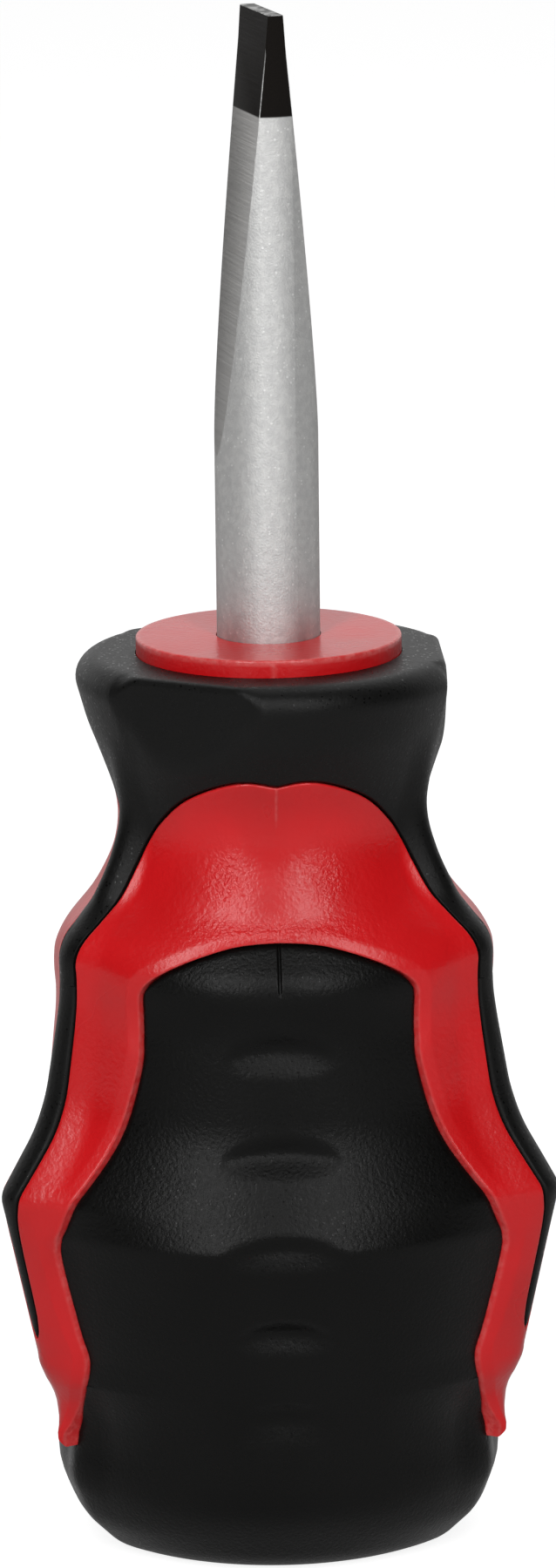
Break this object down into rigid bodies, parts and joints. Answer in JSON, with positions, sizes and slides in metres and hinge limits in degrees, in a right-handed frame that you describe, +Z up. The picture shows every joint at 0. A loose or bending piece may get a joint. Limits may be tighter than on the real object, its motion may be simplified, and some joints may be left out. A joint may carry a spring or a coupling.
{
  "type": "stubby slotted screwdriver",
  "caption": "Stubby slotted screwdriver: round steel blade with a ground wedge tip in a three-sided moulded handle of hard core and soft grips.",
  "frame": {"origin": "middle of the flat under the handle's base, on the blade's axis", "axes": "+Z up the blade towards its tip, -Y towards the panel that faces the viewer, +X to the viewer's right"},
  "size_m": [0.0336, 0.0347, 0.0947],
  "materials": {
    "satin_steel": "satin, fine blasted, blackened at the tip",
    "red_core": "semi-gloss moulded",
    "black_sleeve": "matte soft moulding",
    "black_grip": "fine-grained soft moulding"
  },
  "bodies": {
    "root": {"blade": "satin_steel", "handle_core": "red_core", "neck_sleeve": "black_sleeve", "base_grip": "black_grip"}
  },
  "joints": []
}
